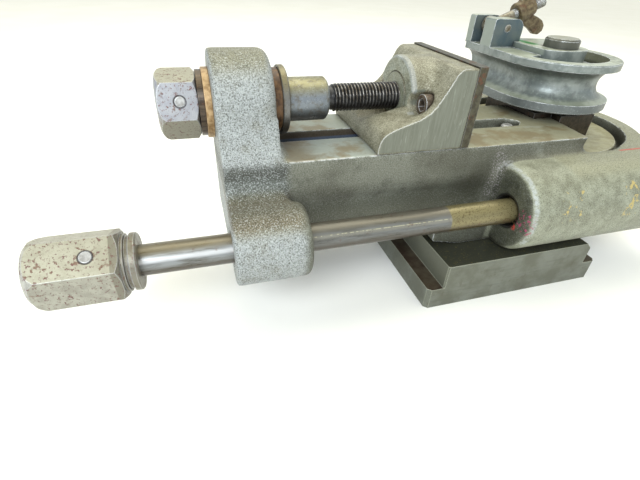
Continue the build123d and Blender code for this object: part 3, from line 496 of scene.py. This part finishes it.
def die_look():
    look = Look("die_worn_steel", 0.35)
    fine = look.noise(2.0, 5.0, 0.6)
    blotch = look.noise(13.0, 6.0, 0.6)
    # painted top light: paler, greener faces where the die faces up
    up = look.ramp(look.facing("Z"), 0.75, 0.95)
    colour = look.mottled(blotch, 0.36, 0.64, tone(132, 142, 140), tone(170, 178, 174))
    top = look.mottled(blotch, 0.4, 0.6, tone(184, 192, 172), tone(212, 220, 202))
    colour = look.tint(up, colour, top, 0.9)
    right = look.ramp(look.axis("X"), 0.010, 0.034)
    olive = look.both(right, look.outside(up))
    colour = look.tint(olive, colour, tone(152, 152, 128), 0.85)
    groove = look.area(z=(GROOVE_LOW, GROOVE_HIGH), soft=0.002)
    dull = look.ramp(look.noise(7.0, 5.0, 0.65), 0.46, 0.64)
    colour = look.tint(look.both(groove, dull), colour, tone(108, 114, 114), 0.5)
    # painted shade in the groove just under the top rim
    under_rim_shade = look.area(z=(GROOVE_HIGH - 0.0055, GROOVE_HIGH + 0.0008), soft=0.0016, ragged=0.001)
    colour = look.tint(look.both(under_rim_shade, look.outside(up)), colour, tone(70, 70, 60), 0.6)
    low_rim = look.area(z=(None, LOW_RIM_TOP), soft=0.0006)
    colour = look.tint(look.both(low_rim, look.outside(up)), colour, tone(112, 118, 120), 0.7)
    colour = look.tint(look.ramp(fine, 0.54, 0.70), colour, tone(206, 214, 214), 0.3)
    # painted shade: the lugs' front faces slate blue-grey
    front = look.ramp(look.facing("Y"), -0.9, -0.99)
    lug = look.both(front, look.area(x=(None, LUG_RIGHT + 0.002), z=(LUG_FOOT, None), soft=0.0005))
    slate = look.mottled(blotch, 0.36, 0.64, tone(98, 118, 128), tone(124, 136, 136))
    colour = look.tint(lug, colour, slate, 0.95)
    # painted light: lighter faces where they turn left, above the lug foot
    west = look.both(look.ramp(look.facing("X"), -0.9, -0.98), look.area(z=(LUG_FOOT, None), soft=0.0005))
    colour = look.tint(west, colour, tone(176, 186, 176), 0.8)
    # the spindle end, with painted light: pale tan where it faces up and dark at its sides
    across = (-SPINDLE_R, SPINDLE_R)
    spindle = look.area(x=across, y=across, z=(PAD_TOP, None), soft=0.0006)
    colour = look.tint(spindle, colour, look.mix(up, tone(104, 104, 94), tone(168, 166, 146)), 0.95)
    right_rim = look.area(x=(0.020, None), y=(None, 0.020), z=(RIM_TOP - 0.002, RIM_TOP + 0.002),
                          soft=0.003, ragged=0.003)
    rough_rim = look.both(up, right_rim)
    chips = look.noise(4.0, 4.0, 0.7)
    colour = look.tint(look.both(rough_rim, look.ramp(chips, 0.44, 0.56)), colour, tone(96, 98, 84), 0.7)
    colour = look.tint(look.grime_and_shade(7.0, 0.30, 0.85), colour, tone(56, 62, 60), 0.65)
    worn = look.edge(0.8, 0.004, 0.06)
    nicks = look.ramp(look.noise(5.0, 4.0, 0.6), 0.34, 0.56)
    colour = look.tint(look.both(worn, nicks), colour, BRIGHT, 0.85)
    colour = flecks(look, colour, GREEN_PAINT, 5.0, 0.30, x=(LUG_RIGHT + 0.0005, LUG_RIGHT + 0.0085),
                    y=(0.012, 0.050), z=(RIM_TOP - 0.001, PAD_TOP + 0.004))
    look.bump(look.math("ADD", fine, look.scaled(look.both(rough_rim, chips), 14.0)), 0.10)
    return look.done(colour, look.ramp(blotch, 0.3, 0.7, 0.32, 0.46))


def steel_look(name, pale, dark, rust_share, roughness=(0.28, 0.5), streak=(1.0, 1.0, 1.0), metallic=0.4,
               stain=RUST, depth=0.05, size_mm=3.2, edge_share=0.55):
    look = Look(name, metallic)
    lines = look.noise(size_mm, 6.0, 0.65, streak)
    blotch = look.noise(6.0, 6.0, 0.65)
    colour = look.mottled(lines, 0.34, 0.66, dark, pale)
    spots = look.ramp(blotch, 0.66 - rust_share * 0.4, 0.74 - rust_share * 0.4)
    colour = look.tint(spots, colour, stain, 0.8)
    colour = look.tint(look.grime_and_shade(4.0, 0.3, 0.85), colour, GRIME_AND_SHADE, 0.6)
    worn = look.edge(0.8, 0.004, 0.07)
    colour = look.tint(worn, colour, BRIGHT, edge_share)
    look.bump(look.math("ADD", look.noise(0.8, 4.0, 0.6), look.scaled(spots, 0.8)), depth)
    return look.done(colour, look.ramp(blotch, 0.3, 0.7, *roughness))


def bronze_look():
    """Golden bronze at the left of the bracket, rust-brown at its right."""
    look = Look("bronze_dull", 0.35)
    cloud = look.noise(5.0, 6.0, 0.65)
    colour = look.mottled(cloud, 0.38, 0.62, tone(166, 130, 84), tone(228, 194, 146))
    right_of_bracket = look.area(x=(BRACKET_RIGHT - 0.001, BRACKET_RIGHT + 0.008), soft=0.0003)
    rusty = look.mottled(cloud, 0.42, 0.58, tone(74, 50, 34), tone(120, 86, 54))
    colour = look.tint(right_of_bracket, colour, rusty, 0.95)
    worn = look.edge(0.8, 0.004, 0.07)
    colour = look.tint(worn, colour, tone(228, 196, 160), 0.5)
    look.bump(look.noise(0.8, 4.0, 0.6), 0.05)
    return look.done(colour, look.ramp(cloud, 0.3, 0.7, 0.32, 0.5))


def hex_look():
    look = Look("hex_worn_steel", 0.35)
    cloud = look.noise(7.0, 5.0, 0.6)
    colour = look.mottled(cloud, 0.36, 0.64, tone(176, 174, 168), tone(206, 206, 196))
    # painted light: yellowish on faces turned up, blue-grey on the upper hex's sides lit from in front, olive
    # shade on faces turned down
    over = look.ramp(look.facing("Z"), 0.55, 0.80)
    colour = look.tint(over, colour, tone(190, 186, 160), 0.7)
    upper = look.area(z=(SCREW_Z - 0.03, None))
    colour = look.tint(look.both(upper, look.outside(over)), colour, tone(172, 176, 192), 0.6)
    underside_shade = look.ramp(look.facing("Z"), 0.10, -0.35)
    colour = look.tint(underside_shade, colour, tone(160, 154, 124), 0.75)
    neck = look.area(x=(HEX_NECK, None), z=(None, SHAFT_Z + 0.03), soft=0.0004)
    colour = look.tint(neck, colour, tone(128, 122, 104), 0.75)
    patches = look.ramp(look.noise(3.0, 5.0, 0.65), 0.56, 0.60)
    spread = look.ramp(look.noise(16.0, 3.0), 0.44, 0.58)
    colour = look.tint(look.both(patches, spread), colour, tone(128, 92, 72), 0.8)
    fine = look.noise(1.5, 3.0, 0.7)
    colour = look.tint(look.ramp(fine, 0.58, 0.63), colour, tone(122, 78, 78), 0.85)
    for node, lean, here in (("drive_hex_pin", DRIVE_HEX_LEAN, look.outside(upper)),
                             ("feed_hex_pin", FEED_HEX_LEAN, upper)):
        colour = look.tint(look.both(look.ring(node, lean), here), colour, tone(44, 32, 34), 0.9)
    colour = look.tint(look.grime_and_shade(4.0, 0.25, 0.8), colour, tone(60, 46, 34), 0.75)
    worn = look.edge(0.9, 0.004, 0.07)
    colour = look.tint(worn, colour, BRIGHT, 0.35)
    look.bump(look.math("ADD", look.noise(0.9, 4.0, 0.6), look.scaled(patches, 0.7)), 0.09)
    return look.done(colour, look.ramp(cloud, 0.3, 0.7, 0.30, 0.46))


def shaft_look():
    """Blued and grey between bracket and foot, then tan with oil near the barrel."""
    look = Look("shaft_worn_steel", 0.5)
    lines = look.noise(2.6, 5.0, 0.65, (0.12, 1.0, 1.0))
    colour = look.mottled(lines, 0.36, 0.64, tone(118, 118, 114), tone(164, 168, 170))
    # painted warm top light: tan along the shaft's crown
    crown = look.ramp(look.facing("Z"), 0.62, 0.92)
    colour = look.tint(crown, colour, tone(150, 138, 108), 0.75)
    middle = look.area(x=(BRACKET_RIGHT, SHAFT_TAN_X))
    colour = look.tint(middle, colour, tone(104, 104, 102), 0.55)
    # painted highlight: a white band along the shaft's upper front, dimmer between bracket and foot
    streak = look.both(look.ramp(look.facing("Z"), 0.25, 0.45), look.ramp(look.facing("Z"), 0.68, 0.50))
    colour = look.tint(look.both(streak, look.outside(middle)), colour, tone(250, 252, 255), 0.9)
    colour = look.tint(look.both(streak, middle), colour, tone(190, 186, 170), 0.5)
    washer = look.area(x=(BRACKET_LEFT - 0.009, BRACKET_LEFT - 0.003), z=(SCREW_Z - 0.024, None), soft=0.0005)
    oily = look.mottled(lines, 0.4, 0.6, tone(70, 54, 40), tone(112, 92, 68))
    colour = look.tint(washer, colour, oily, 0.9)
    tan_part = look.area(x=(SHAFT_TAN_X, None), soft=0.0006, ragged=0.0015)
    specks = look.ramp(look.noise(1.1, 3.0, 0.7), 0.54, 0.64)
    tan = look.mix(specks, tone(158, 148, 108), tone(96, 84, 54))
    colour = look.mix(tan_part, colour, tan)
    # painted shade on the shaft's lower half
    low = look.ramp(look.axis("Z"), SHAFT_Z + 0.0015, SHAFT_Z - 0.004)
    colour = look.tint(low, colour, tone(88, 74, 50), 0.7)
    # painted glint: a thin dashed bright line along the shaft between bracket and tan part
    painted_light_line = look.area(x=(BRACKET_RIGHT, SHAFT_TAN_X - 0.001), y=(None, SHAFT_Y),
                     z=(SHAFT_Z + 0.0050, SHAFT_Z + 0.0054), soft=0.0001)
    dashes = look.ramp(look.noise(1.7, 1.0, 0.5, (1.0, 0.02, 0.02)), 0.48, 0.52)
    colour = look.tint(look.both(painted_light_line, dashes), colour, tone(225, 222, 190), 0.9)
    rust = look.ramp(look.noise(5.0, 6.0, 0.65), 0.60, 0.70)
    colour = look.tint(rust, colour, RUST, 0.5)
    look.edge(0.5)
    look.bump(look.noise(0.8, 4.0, 0.6), 0.03)
    return look.done(colour, look.ramp(lines, 0.3, 0.7, 0.26, 0.40))


def screw_look():
    look = Look("screw_dark_steel", 0.45)
    cloud = look.noise(4.0, 5.0, 0.6)
    thread = look.area(x=(THREAD_X, None), soft=0.0003)
    # painted light: the flange and collar blue-grey on their sides, tan where they face up
    flange = look.mottled(look.facing("Z"), 0.25, 0.85, tone(150, 158, 166), tone(168, 162, 122))
    flange = look.tint(look.ramp(cloud, 0.50, 0.66), flange, tone(110, 98, 76), 0.6)
    flange = look.tint(look.ramp(look.noise(0.9, 3.0, 0.7), 0.56, 0.66), flange, tone(214, 220, 228), 0.45)
    rusty = look.area(x=(None, COLLAR_X), soft=0.0005)
    flange = look.tint(rusty, flange, tone(112, 96, 66), 0.5)
    black = look.mottled(cloud, 0.4, 0.6, tone(52, 52, 54), tone(78, 78, 80))
    colour = look.mix(thread, flange, black)
    outer = look.ramp(look.radial(SCREW_Y, SCREW_Z), 0.0091, 0.0095)
    # worn thread crests, painted lighter as a highlight where they face up
    crest = look.both(thread, outer, look.ramp(look.facing("Z"), -0.3, 0.4))
    rubbed = look.mottled(cloud, 0.42, 0.58, tone(128, 116, 100), tone(196, 192, 186))
    colour = look.tint(crest, colour, rubbed, 0.8)
    # painted shade on the screw's underside
    underside_shade = look.ramp(look.facing("Z"), 0.0, -0.6)
    colour = look.tint(underside_shade, colour, tone(40, 32, 24), 0.8)
    colour = look.tint(look.grime_and_shade(3.0, 0.3, 0.9), colour, GRIME_AND_SHADE, 0.5)
    look.bump(look.noise(0.7, 4.0, 0.6), 0.04)
    return look.done(colour, look.ramp(cloud, 0.3, 0.7, 0.26, 0.42))


LOOKS = {
    "cast_body": body_look(),
    "cast_slide": slide_look(),
    "foot_iron": foot_look(),
    "die_steel": die_look(),
    "hex_steel": hex_look(),
    "shaft_steel": shaft_look(),
    "screw_dark": screw_look(),
    "disc_oiled": steel_look("disc_oiled_iron", tone(188, 184, 146), tone(158, 152, 112), 0.08, (0.35, 0.5),
                             metallic=0.2, stain=OIL, size_mm=9.0),
    "block_dark": steel_look("block_oil_dark", tone(92, 82, 66), tone(58, 50, 40), 0.2, (0.3, 0.5),
                             metallic=0.25, edge_share=0.15),
    "plate_steel": steel_look("plate_rusty_steel", tone(92, 88, 68), tone(60, 54, 38), 0.25, (0.35, 0.55),
                              metallic=0.25, edge_share=0.15),
    "pin_bright": steel_look("pin_bright_steel", tone(214, 214, 214), tone(172, 170, 168), 0.05, (0.28, 0.4)),
    "bronze": bronze_look(),
    "cover_grey": steel_look("cover_cast_iron", tone(160, 164, 148), tone(120, 124, 108), 0.1, (0.4, 0.6),
                             metallic=0.25, depth=0.2),
    "screw_black": steel_look("screw_black_oxide", tone(132, 118, 104), tone(84, 72, 60), 0.15, (0.35, 0.5),
                              metallic=0.3),
    "worm_steel": steel_look("worm_machined_steel", tone(190, 190, 190), tone(150, 150, 150), 0.02,
                             (0.25, 0.35)),
    "wheel_bronze": steel_look("wheel_bronze", tone(206, 176, 120), tone(168, 138, 92), 0.02, (0.25, 0.4)),
    "bolt_steel": steel_look("bolt_worn_steel", tone(178, 174, 158), tone(116, 102, 80), 0.2, (0.25, 0.4)),
    "wing_rust": steel_look("wing_nut_rusty", tone(150, 134, 100), tone(96, 78, 54), 0.30, (0.4, 0.6),
                            metallic=0.25, stain=tone(112, 80, 56), depth=0.25),
}
slot_of = {part["node"]: part["material_slot"] for part in frame["record"]["subparts"]}
for name, obj in nodes.items():
    obj.data.materials.clear()
    obj.data.materials.append(LOOKS[slot_of[name]])


# ---------------------------------------------------------------- made pieces
def added(name, mesh, slot, node):
    """Put a mesh in the scene in place of one CAD node, on that node's body."""
    piece = bpy.data.objects.new(name, mesh)
    bpy.context.collection.objects.link(piece)
    mesh.materials.clear()
    mesh.materials.append(LOOKS[slot])
    body = next(b for b, members in frame["record"]["behaviour"]["bodies"].items() if node in members)
    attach(piece, body)
    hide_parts(node)
    return piece


# the feed screw, in millimetres
SCREW_SEGMENTS = 64
SCREW_PROFILE = [(-313.8, 9.5), (-313.7, 11.0), (-261.3, 11.0), (-261.2, 22.0),
                 (-260.7, 22.5), (-257.4, 22.5), (-256.6, 21.8), (-256.4, 21.0),
                 (-256.35, 14.6), (-228.8, 14.6), (-228.2, 14.2), (-226.9, 12.7)]
JOURNAL_R, CHAMFER = 9.5, 0.6
UNDERCUT_X, UNDERCUT_R = -226.8, 8.2
THREAD_START, THREAD_PITCH = -223.5, 2.54
THREAD_MAJOR, THREAD_MINOR = 9.525, 7.95
THREAD_STEEPNESS = 1.22
THREAD_CREASE = math.radians(38)
STEPS_PER_PITCH = 10


def screw_mesh():
    """Turned screw: plain journal, flange, collar, then a right-handed helical V thread."""
    start, end = (c.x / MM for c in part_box("feed_screw"))
    journal = [(start, JOURNAL_R - CHAMFER), (start + CHAMFER, JOURNAL_R)]
    undercut = [(UNDERCUT_X, UNDERCUT_R), (THREAD_START, THREAD_MINOR)]
    profile = journal + SCREW_PROFILE + undercut
    turn = 2 * math.pi * np.arange(SCREW_SEGMENTS) / SCREW_SEGMENTS
    rows = [(x, np.full(SCREW_SEGMENTS, r)) for x, r in profile]
    step = THREAD_PITCH / STEPS_PER_PITCH
    for x in np.arange(THREAD_START + step, end - 0.3, step):
        phase = ((x - THREAD_START) / THREAD_PITCH - turn / (2 * math.pi)) % 1.0
        crest = np.clip(THREAD_STEEPNESS * (1.0 - 2.0 * np.abs(phase - 0.5)), 0.0, 1.0)
        fade = min(1.0, (x - THREAD_START) / THREAD_PITCH, (end - x) / (0.6 * THREAD_PITCH))
        rows.append((x, THREAD_MINOR + (THREAD_MAJOR - THREAD_MINOR) * crest * fade))
    rows.append((end, np.full(SCREW_SEGMENTS, THREAD_MINOR - 0.9)))
    verts = []
    for x, radii in rows:
        for a, r in zip(turn, radii):
            verts.append((x * MM, SCREW_Y + r * MM * math.cos(a), SCREW_Z + r * MM * math.sin(a)))
    faces = []
    for i in range(len(rows) - 1):
        for j in range(SCREW_SEGMENTS):
            k = (j + 1) % SCREW_SEGMENTS
            a, b = i * SCREW_SEGMENTS, (i + 1) * SCREW_SEGMENTS
            faces.append((a + j, b + j, b + k, a + k))
    last = (len(rows) - 1) * SCREW_SEGMENTS
    faces.append(tuple(range(SCREW_SEGMENTS)))
    faces.append(tuple(last + j for j in reversed(range(SCREW_SEGMENTS))))
    mesh = bpy.data.meshes.new("feed_screw_helical")
    mesh.from_pydata(verts, [], faces)
    mesh.shade_smooth()
    mesh.set_sharp_from_angle(angle=THREAD_CREASE)
    return mesh


PULL = 0.6
CAST_CREASE = math.radians(40)


def cast_mesh(name, node, voxel_mm, rounds, free, faces=None):
    """Evenly remeshed copy of a CAD piece whose inner corners are filled like cast fillets.

    free(places) gives how free each point is, and the share of that freedom that wears outer edges down.
    """
    source = nodes[node]
    piece = bpy.data.objects.new(name, source.data.copy())
    bpy.context.collection.objects.link(piece)
    even = piece.modifiers.new("even", "REMESH")
    even.mode = "VOXEL"
    even.voxel_size = voxel_mm * MM
    bpy.context.view_layer.update()
    mesh = bpy.data.meshes.new_from_object(piece.evaluated_get(bpy.context.evaluated_depsgraph_get()))
    bpy.data.objects.remove(piece)
    count = len(mesh.vertices)
    place = np.empty(count * 3)
    mesh.vertices.foreach_get("co", place)
    place = place.reshape(-1, 3)
    normal = np.empty(count * 3)
    mesh.vertex_normals.foreach_get("vector", normal)
    normal = normal.reshape(-1, 3)
    pairs = np.empty(len(mesh.edges) * 2, dtype=np.int64)
    mesh.edges.foreach_get("vertices", pairs)
    one, two = pairs.reshape(-1, 2).T
    near = np.maximum(np.bincount(one, minlength=count) + np.bincount(two, minlength=count), 1)
    share, convex = free(place)
    for _ in range(rounds):
        total = np.stack([np.bincount(one, place[two, k], count) + np.bincount(two, place[one, k], count)
                          for k in range(3)], axis=1)
        move = total / near[:, None] - place
        hollow = np.einsum("ij,ij->i", move, normal) > 0
        place += move * (PULL * share * np.where(hollow, 1.0, convex))[:, None]
    mesh.vertices.foreach_set("co", place.ravel())
    mesh.update()
    if faces is not None:
        mesh = thinned(mesh, faces)
    mesh.shade_smooth()
    mesh.set_sharp_from_angle(angle=CAST_CREASE)
    mesh.name = name
    return mesh


def thinned(mesh, faces):
    """The mesh with its triangles cut to about the given number, flat parts first."""
    mesh.calc_loop_triangles()
    piece = bpy.data.objects.new("thinning", mesh)
    bpy.context.collection.objects.link(piece)
    fewer = piece.modifiers.new("fewer", "DECIMATE")
    fewer.ratio = min(1.0, faces / len(mesh.loop_triangles))
    bpy.context.view_layer.update()
    result = bpy.data.meshes.new_from_object(piece.evaluated_get(bpy.context.evaluated_depsgraph_get()))
    bpy.data.objects.remove(piece)
    return result


def away(value, plane, start, reach):
    """0 within start of a plane, rising to 1 over reach; metres."""
    return np.clip((np.abs(value - plane) - start) / reach, 0.0, 1.0)


def slide_free(place):
    """Free on the ramp and boss; held at the sides, deck, plate face, top and round the screw's bore."""
    x, y, z = place.T
    share = away(y, ARM_FRONT, 0.0007, 0.003) * away(y, ARM_BACK, 0.0007, 0.003)
    share *= away(z, DECK_TOP, 0.0015, 0.003) * away(x, SLIDE_RIGHT, 0.0015, 0.004)
    share *= away(z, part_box("slide_block")[1].z, 0.0008, 0.002)
    from_screw = np.hypot(y - SCREW_Y, z - SCREW_Z)
    share *= np.clip((from_screw - 0.0185) / 0.004, 0.0, 1.0)
    share *= np.where(z < DECK_TOP + 0.001, 0.0, 1.0)
    return share, 0.12


def body_free(place):
    """Free where the casting's parts run together: round the worm barrel's root and over the bracket."""
    x, y, z = place.T
    from_shaft = np.hypot(y - SHAFT_Y, z - SHAFT_Z)
    from_screw = np.hypot(y - SCREW_Y, z - SCREW_Z)
    root = np.clip((x - BARREL_FACE + 0.045) / 0.02, 0, 1) * np.clip((0.085 - x) / 0.02, 0, 1)
    root *= np.clip((ARM_FRONT + 0.006 - y) / 0.004, 0, 1) * np.clip((z - FOOT_TOP - 0.006) / 0.01, 0, 1)
    root *= np.clip((DECK_TOP - 0.004 - z) / 0.004, 0, 1) * np.clip((from_shaft - 0.0145) / 0.005, 0, 1)
    bracket = np.clip((BRACKET_RIGHT + 0.030 - x) / 0.02, 0, 1) * np.clip((from_screw - 0.018) / 0.004, 0, 1)
    bracket *= np.clip((from_shaft - 0.015) / 0.004, 0, 1)
    inside = (y > ARM_FRONT + 0.008) & (z < DECK_TOP - 0.010) & (x > BRACKET_RIGHT)
    on_deck = (x > BRACKET_RIGHT + 0.006) & (z > DECK_TOP - 0.002)
    share = np.where(inside | on_deck, 0.0, np.maximum(root, bracket))
    return share, np.where(x > BRACKET_RIGHT + 0.04, 0.35, 0.04)


def wing_free(place):
    """Free all over."""
    return np.ones(len(place)), 0.12


body_mesh = cast_mesh("body_cast", "body_casting", 1.5, 60, body_free, faces=190000)
slide_mesh = cast_mesh("slide_block_cast", "slide_block", 0.8, 110, slide_free)
wing_mesh = cast_mesh("wing_nut_cast", "wing_nut", 0.45, 30, wing_free)
added("body_cast", body_mesh, "cast_body", "body_casting")
added("slide_block_cast", slide_mesh, "cast_slide", "slide_block")
added("wing_nut_cast", wing_mesh, "wing_rust", "wing_nut")
added("feed_screw_helical", screw_mesh(), "screw_dark", "feed_screw")


# ---------------------------------------------------------------- stage, light and camera
def studio():
    """Pale floor under an even sky that warms from horizon to zenith."""
    bpy.ops.mesh.primitive_plane_add(size=30.0, location=(0.0, 0.0, 0.0))
    floor = bpy.context.object
    floor.name = "floor"
    look = Look("floor_pale", 0.0, 0.3)
    colour = look.mix(look.ramp(look.noise(160.0, 3.0), 0.3, 0.7), (0.88, 0.88, 0.86), (0.91, 0.91, 0.90))
    floor.data.materials.append(look.done(colour, 0.6))
    world = bpy.data.worlds.new("studio")
    world.use_nodes = True
    tree = world.node_tree
    place = tree.nodes.new("ShaderNodeTexCoord")
    parts = tree.nodes.new("ShaderNodeSeparateXYZ")
    rise = tree.nodes.new("ShaderNodeMapRange")
    rise.inputs["From Min"].default_value = 0.15
    rise.inputs["From Max"].default_value = 0.75
    blend = tree.nodes.new("ShaderNodeMix")
    blend.data_type = "RGBA"
    blend.inputs[6].default_value = (0.86, 0.93, 1.0, 1.0)
    blend.inputs[7].default_value = (1.0, 0.98, 0.80, 1.0)
    tree.links.new(place.outputs["Generated"], parts.inputs[0])
    tree.links.new(parts.outputs["Z"], rise.inputs["Value"])
    tree.links.new(rise.outputs[0], blend.inputs[0])
    tree.links.new(blend.outputs[2], tree.nodes["Background"].inputs[0])
    tree.nodes["Background"].inputs[1].default_value = 1.0
    bpy.context.scene.world = world
    bpy.context.scene.view_settings.view_transform = "Standard"


def softbox(name, place, aim, width, height, power, colour):
    light = bpy.data.lights.new(name, "AREA")
    light.shape = "RECTANGLE"
    light.size, light.size_y = width, height
    light.energy = power
    light.color = colour
    lamp = bpy.data.objects.new(name, light)
    lamp.location = place
    lamp.rotation_mode = "QUATERNION"
    lamp.rotation_quaternion = (Vector(place) - Vector(aim)).to_track_quat("Z", "Y")
    bpy.context.collection.objects.link(lamp)


def camera():
    """Seen from the left and in front, from above; angles in radians, places in metres."""
    place = (-0.31707, -0.30790, 0.22494)
    yaw, pitch, roll = 0.323, 0.614, -0.053
    forward = Vector((math.sin(yaw) * math.cos(pitch), math.cos(yaw) * math.cos(pitch), -math.sin(pitch)))
    right = Vector((math.cos(yaw), -math.sin(yaw), 0.0))
    down = forward.cross(right)
    right_rolled = math.cos(roll) * right + math.sin(roll) * down
    down_rolled = math.cos(roll) * down - math.sin(roll) * right
    turn = Matrix((right_rolled, -down_rolled, -forward)).transposed()
    lens = bpy.data.cameras.new("camera")
    lens.sensor_width = 36.0
    lens.lens = 22.465
    lens.clip_start = 0.01
    eye = bpy.data.objects.new("camera", lens)
    eye.matrix_world = Matrix.Translation(place) @ turn.to_4x4()
    bpy.context.collection.objects.link(eye)
    bpy.context.scene.camera = eye


studio()
softbox("overhead", (0.2, 0.5, 1.5), (-0.1, 0.0, 0.1), 1.6, 1.2, 16.0, (1.0, 0.98, 0.86))
softbox("front_left", (-1.0, -1.2, 1.1), (-0.2, 0.0, 0.1), 0.8, 0.8, 26.0, (0.88, 0.94, 1.0))
camera()
